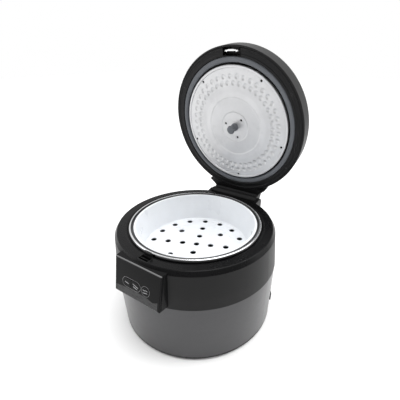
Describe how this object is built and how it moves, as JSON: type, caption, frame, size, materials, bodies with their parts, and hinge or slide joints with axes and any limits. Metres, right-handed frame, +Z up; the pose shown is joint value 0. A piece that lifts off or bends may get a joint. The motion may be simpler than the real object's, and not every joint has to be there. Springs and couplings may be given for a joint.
{
  "type": "rice cooker",
  "caption": "Round rice cooker with a hinged lid standing open, a lift-out pot, a perforated steamer basket, a dimpled inner lid and a front control panel.",
  "frame": {"origin": "on the body's vertical axis, at the plane the foot ring stands on", "axes": "+Z up along the pot's axis; the control panel faces -Y and the lid hinge is at +Y; +X is the user's right when facing the back of the room"},
  "size_m": [0.2714, 0.3118, 0.4233],
  "materials": {
    "black_plastic": "fine-textured black moulding",
    "deck_plastic": "satin dark grey moulding",
    "wall_metal": "dark metallic lacquer on sheet metal",
    "overlay_gloss": "glossy black film",
    "panel_grey": "satin grey moulding",
    "key_gloss": "black key with pale print",
    "steel": "plain steel",
    "brass": "plated brass",
    "aluminium": "plain aluminium",
    "lid_alu": "satin aluminium",
    "pot_metal": "coated aluminium with a bright rim",
    "white_plastic": "white moulding",
    "seal_rubber": "grey silicone",
    "black_rubber": "black rubber",
    "pcb": "circuit board",
    "catch_metal": "bright plated bar"
  },
  "bodies": {
    "base": {"base_tray": "black_plastic", "foot_ring": "black_rubber", "base_screws": "steel", "lower_shell": "wall_metal", "upper_band": "black_plastic", "deck_collar": "deck_plastic", "latch_cup": "black_plastic", "panel_housing": "panel_grey", "panel_overlay": "overlay_gloss", "control_board": "pcb", "key_switches": "black_plastic", "panel_screws": "steel", "inner_liner": "aluminium", "heating_plate": "aluminium", "heater_tube": "steel", "plate_posts": "steel", "sensor_housing": "steel", "sensor_spring": "steel", "thermal_fuse": "steel", "power_board": "pcb", "board_screws": "steel", "power_inlet": "black_plastic", "inlet_pins": "brass", "hinge_bracket": "black_plastic", "hinge_pin": "steel", "lid_springs": "steel", "bracket_screws": "steel"},
    "pot": {"inner_pot": "pot_metal"},
    "steamer": {"steamer_basket": "white_plastic"},
    "sensor": {"sensor_cap": "aluminium"},
    "key_l": {"key_left": "key_gloss"},
    "key_m": {"key_middle": "key_gloss"},
    "key_r": {"key_right": "key_gloss"},
    "lid": {"lid_outer_shell": "black_plastic", "lid_liner": "black_plastic", "lid_gasket": "seal_rubber", "lid_screws": "steel", "button_spring": "steel", "vent_grommet": "seal_rubber"},
    "inner_lid": {"inner_lid_plate": "lid_alu", "inner_lid_knob": "seal_rubber"},
    "catch": {"lid_catch": "catch_metal"},
    "button": {"release_button": "deck_plastic"},
    "vent_cap": {"steam_vent_cap": "black_plastic"}
  },
  "joints": [
    {"name": "lid_hinge", "type": "hinge", "parent": "base", "child": "lid", "pos_m": [0, 0.1319, 0.1703], "axis": [-1, 0, 0], "range_deg": [-80.6, 0], "stiffness_Nm_per_rad": 0.45, "springref_deg": 40.11},
    {"name": "pot_lift", "type": "slide", "parent": "base", "child": "pot", "axis": [0, 0, 1], "range_m": [0, 0.06]},
    {"name": "steamer_lift", "type": "slide", "parent": "pot", "child": "steamer", "axis": [0, 0, 1], "range_m": [0, 0.05]},
    {"name": "inner_lid_pull", "type": "slide", "parent": "lid", "child": "inner_lid", "axis": [0, -0.9866, -0.1633], "range_m": [0, 0.006]},
    {"name": "vent_cap_pull", "type": "slide", "parent": "lid", "child": "vent_cap", "axis": [0, 0.9866, 0.1633], "range_m": [0, 0.03]},
    {"name": "release_press", "type": "slide", "parent": "lid", "child": "button", "axis": [0, -0.9866, -0.1633], "range_m": [0, 0.003], "stiffness_N_per_m": 600, "springref_m": -0.004},
    {"name": "catch_slide", "type": "slide", "parent": "lid", "child": "catch", "axis": [0, -0.1633, 0.9866], "range_m": [0, 0.0025]},
    {"name": "sensor_press", "type": "slide", "parent": "base", "child": "sensor", "axis": [0, 0, -1], "range_m": [0, 0.0025], "stiffness_N_per_m": 500, "springref_m": -0.004, "deforming": ["sensor_spring"]},
    {"name": "key_left_press", "type": "slide", "parent": "base", "child": "key_l", "axis": [0, 0.9746, -0.2241], "range_m": [0, 0.0008], "stiffness_N_per_m": 800, "springref_m": -0.002},
    {"name": "key_middle_press", "type": "slide", "parent": "base", "child": "key_m", "axis": [0, 0.9746, -0.2241], "range_m": [0, 0.0008], "stiffness_N_per_m": 800, "springref_m": -0.002},
    {"name": "key_right_press", "type": "slide", "parent": "base", "child": "key_r", "axis": [0, 0.9746, -0.2241], "range_m": [0, 0.0008], "stiffness_N_per_m": 800, "springref_m": -0.002}
  ],
  "couplings": [
    {"joint": "catch_slide", "follows": "release_press", "ratio": 0.8333}
  ]
}
